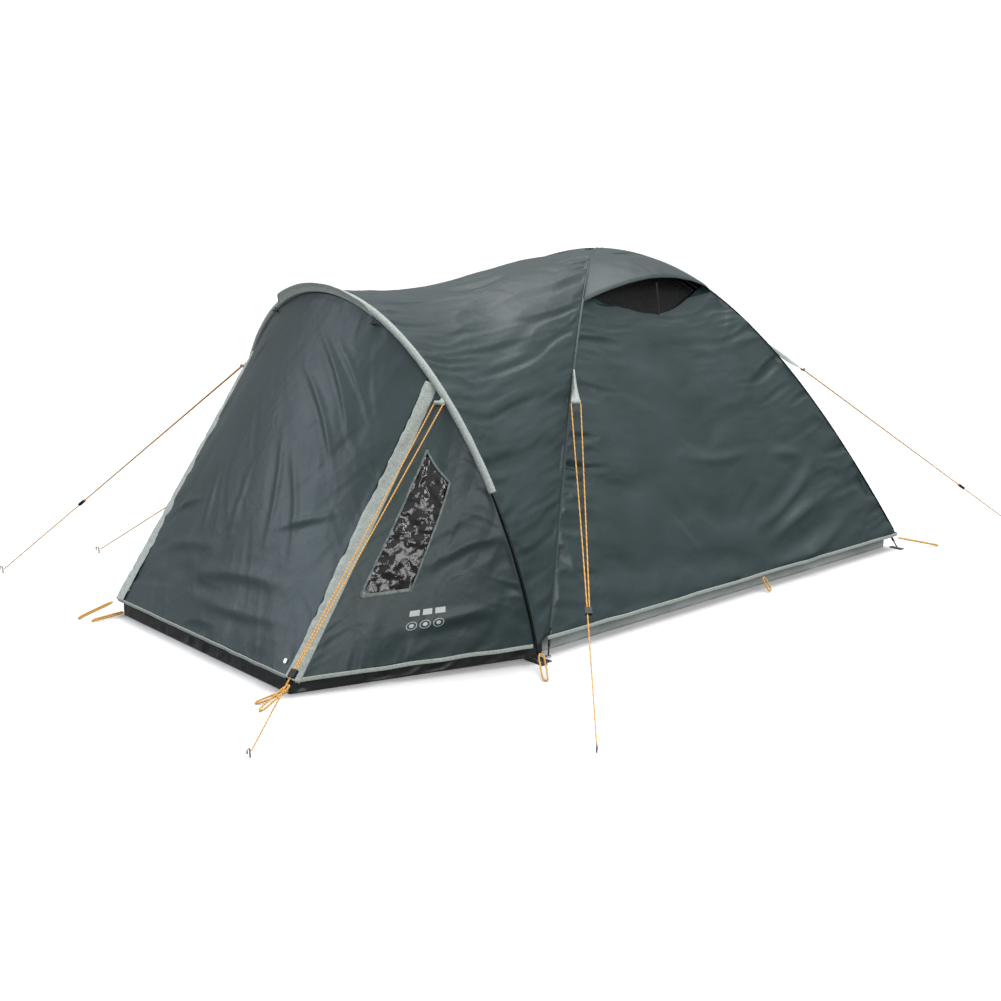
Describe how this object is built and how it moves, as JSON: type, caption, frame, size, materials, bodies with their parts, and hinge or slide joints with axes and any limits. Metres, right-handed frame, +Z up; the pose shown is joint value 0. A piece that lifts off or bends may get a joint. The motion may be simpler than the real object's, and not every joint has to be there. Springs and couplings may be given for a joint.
{
  "type": "dome tent",
  "caption": "Dome tent with a hooped porch: crossed bent poles, a flysheet with a zipped door and roof vents, a hung inner tent and guylines with runners.",
  "frame": {"origin": "centre of the pitched tent's footprint on the ground, guylines and pegs left out", "axes": "+Z up, porch and door face -Y, +X is the right-hand side seen from the porch"},
  "size_m": [2.7288, 3.5359, 1.2],
  "materials": {
    "flysheet": "coated polyester",
    "pale_trim": "reflective grey polyester",
    "black_webbing": "woven",
    "fibreglass": "satin",
    "steel": "plated",
    "elastic": "braided",
    "black_plastic": "moulded",
    "mesh": "fine net",
    "window_film": "clear film",
    "guy_cord": "braided",
    "stud_metal": "polished",
    "zip_tape": "woven tape with coil",
    "zip_metal": "black",
    "inner_cloth": "breathable polyester",
    "groundsheet": "laminated",
    "porch_groundsheet": "laminated"
  },
  "bodies": {
    "shell": {"brow_band": "pale_trim", "corner_rings": "steel", "corner_webbing": "black_webbing", "dome_pole_a": "fibreglass", "dome_pole_b": "fibreglass", "door_toggles": "black_plastic", "door_zips": "zip_tape", "fly_door_arch": "flysheet", "fly_porch_side_left": "flysheet", "fly_porch_side_right": "flysheet", "fly_rear": "flysheet", "fly_side_left": "flysheet", "fly_side_right": "flysheet", "fly_tunnel": "flysheet", "guy_pegs": "steel", "guy_tabs": "pale_trim", "guyline_front_left": "guy_cord", "guyline_front_right": "guy_cord", "guyline_hoop_left": "guy_cord", "guyline_hoop_right": "guy_cord", "guyline_rear_left": "guy_cord", "guyline_rear_right": "guy_cord", "hem_binding": "pale_trim", "hoop_sleeve": "pale_trim", "inner_front_wall": "inner_cloth", "inner_groundsheet": "groundsheet", "inner_rear_wall": "inner_cloth", "inner_side_walls": "inner_cloth", "inner_zip": "zip_tape", "peg_loops": "guy_cord", "pole_clips": "black_plastic", "pole_ferrules": "steel", "pole_shock_cords": "elastic", "pole_tips": "steel", "porch_groundsheet": "porch_groundsheet", "porch_pole": "fibreglass", "storm_flaps": "pale_trim", "vent_mesh": "mesh", "windows": "window_film"},
    "door": {"door_panel": "flysheet", "door_hem": "pale_trim", "snap_studs": "stud_metal"},
    "zip_slider_right": {"zip_slider_right": "zip_metal"},
    "zip_slider_left": {"zip_slider_left": "zip_metal"},
    "vent_hood_right": {"vent_hood_right": "flysheet"},
    "vent_hood_left": {"vent_hood_left": "flysheet"},
    "vent_strut_right": {"vent_strut_right": "fibreglass"},
    "vent_strut_left": {"vent_strut_left": "fibreglass"},
    "inner_door": {"inner_door": "inner_cloth"},
    "inner_zip_slider": {"inner_zip_slider": "zip_metal"},
    "runner_hoop_right": {"runner_hoop_right": "black_plastic"},
    "runner_hoop_left": {"runner_hoop_left": "black_plastic"},
    "runner_front_right": {"runner_front_right": "black_plastic"},
    "runner_front_left": {"runner_front_left": "black_plastic"},
    "runner_rear_right": {"runner_rear_right": "black_plastic"},
    "runner_rear_left": {"runner_rear_left": "black_plastic"}
  },
  "joints": [
    {"name": "door_lift", "type": "hinge", "parent": "shell", "child": "door", "pos_m": [0, -0.99638, 0.84], "axis": [-1, 0, 0], "range_deg": [0, 75]},
    {"name": "zip_right_slide", "type": "slide", "parent": "shell", "child": "zip_slider_right", "axis": [-0.0323, 0.5722, 0.8195], "range_m": [0, 0.88]},
    {"name": "zip_left_slide", "type": "slide", "parent": "shell", "child": "zip_slider_left", "axis": [0.0323, 0.5722, 0.8195], "range_m": [0, 0.88]},
    {"name": "vent_right_close", "type": "hinge", "parent": "shell", "child": "vent_hood_right", "pos_m": [0.09644, 0.398, 1.18536], "axis": [0, 1, 0], "range_deg": [0, 16]},
    {"name": "strut_right_fold", "type": "hinge", "parent": "shell", "child": "vent_strut_right", "pos_m": [0.329, 0.398, 0.972], "axis": [0, -1, 0], "range_deg": [0, 33.61]},
    {"name": "vent_left_close", "type": "hinge", "parent": "shell", "child": "vent_hood_left", "pos_m": [-0.09644, 0.398, 1.18536], "axis": [0, -1, 0], "range_deg": [0, 16]},
    {"name": "strut_left_fold", "type": "hinge", "parent": "shell", "child": "vent_strut_left", "pos_m": [-0.329, 0.398, 0.972], "axis": [0, 1, 0], "range_deg": [0, 33.61]},
    {"name": "inner_door_swing", "type": "hinge", "parent": "shell", "child": "inner_door", "pos_m": [-0.33, -0.50365, 0.12762], "axis": [0, -0.4872, -0.8733], "range_deg": [0, 45]},
    {"name": "inner_zip_slide", "type": "slide", "parent": "shell", "child": "inner_zip_slider", "axis": [-1, 0, 0], "range_m": [0, 0.57]},
    {"name": "runner_hoop_right_slide", "type": "slide", "parent": "shell", "child": "runner_hoop_right", "axis": [-0.2221, 0.7195, 0.6581], "range_m": [0, 0.06]},
    {"name": "runner_hoop_left_slide", "type": "slide", "parent": "shell", "child": "runner_hoop_left", "axis": [0.5807, 0.5099, 0.6347], "range_m": [0, 0.06]},
    {"name": "runner_front_right_slide", "type": "slide", "parent": "shell", "child": "runner_front_right", "axis": [-0.6317, 0.5649, 0.5308], "range_m": [0, 0.06]},
    {"name": "runner_front_left_slide", "type": "slide", "parent": "shell", "child": "runner_front_left", "axis": [0.5839, 0.6079, 0.538], "range_m": [0, 0.06]},
    {"name": "runner_rear_right_slide", "type": "slide", "parent": "shell", "child": "runner_rear_right", "axis": [-0.5224, -0.6234, 0.5818], "range_m": [0, 0.06]},
    {"name": "runner_rear_left_slide", "type": "slide", "parent": "shell", "child": "runner_rear_left", "axis": [0.5224, -0.6234, 0.5818], "range_m": [0, 0.06]}
  ],
  "couplings": [
    {"joint": "strut_right_fold", "follows": "vent_right_close", "ratio": 2.1},
    {"joint": "strut_left_fold", "follows": "vent_left_close", "ratio": 2.1}
  ]
}
